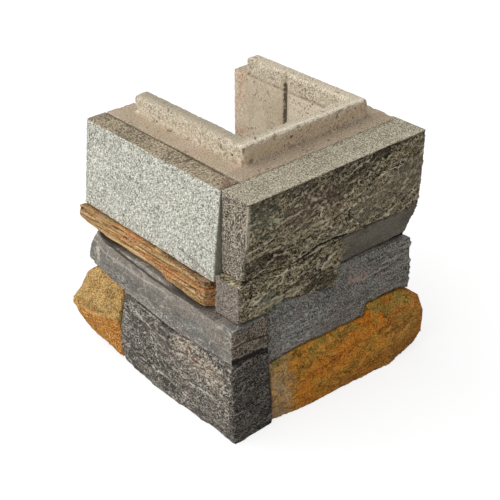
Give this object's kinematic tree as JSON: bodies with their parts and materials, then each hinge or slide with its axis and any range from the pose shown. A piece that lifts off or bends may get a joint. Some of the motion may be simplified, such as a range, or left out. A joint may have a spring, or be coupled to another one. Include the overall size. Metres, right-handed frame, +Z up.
{
  "type": "stone faced corner block",
  "caption": "Corner block for a stone-clad wall: a cast concrete angle with a return wall and a raised tongue on top, faced on its outer sides with split slate, quartzite and rusty stone.",
  "frame": {"origin": "On the floor under the middle of the whole block's bounding box.", "axes": "+Z is up, with the tongue on top. +X points out of the plain return wall, and the stones of the left face look along -X. The stones of the right face look along -Y, and +Y points to the open back of the block."},
  "size_m": [0.217, 0.213, 0.216],
  "materials": {
    "concrete": "matte",
    "light_stone": "matte",
    "rust_stone": "matte",
    "grey_slate": "matte",
    "orange_stone": "matte",
    "dark_slate": "matte",
    "brown_stone": "matte"
  },
  "bodies": {
    "root": {"concrete_backing": "concrete", "light_slab": "light_stone", "rust_strip": "rust_stone", "grey_slate_strip": "grey_slate", "orange_end_block": "orange_stone", "dark_slate_strip": "dark_slate", "brown_split_slab": "brown_stone", "second_course_strip": "brown_stone", "third_course_strip": "grey_slate", "orange_bottom_stone": "orange_stone"}
  },
  "joints": []
}
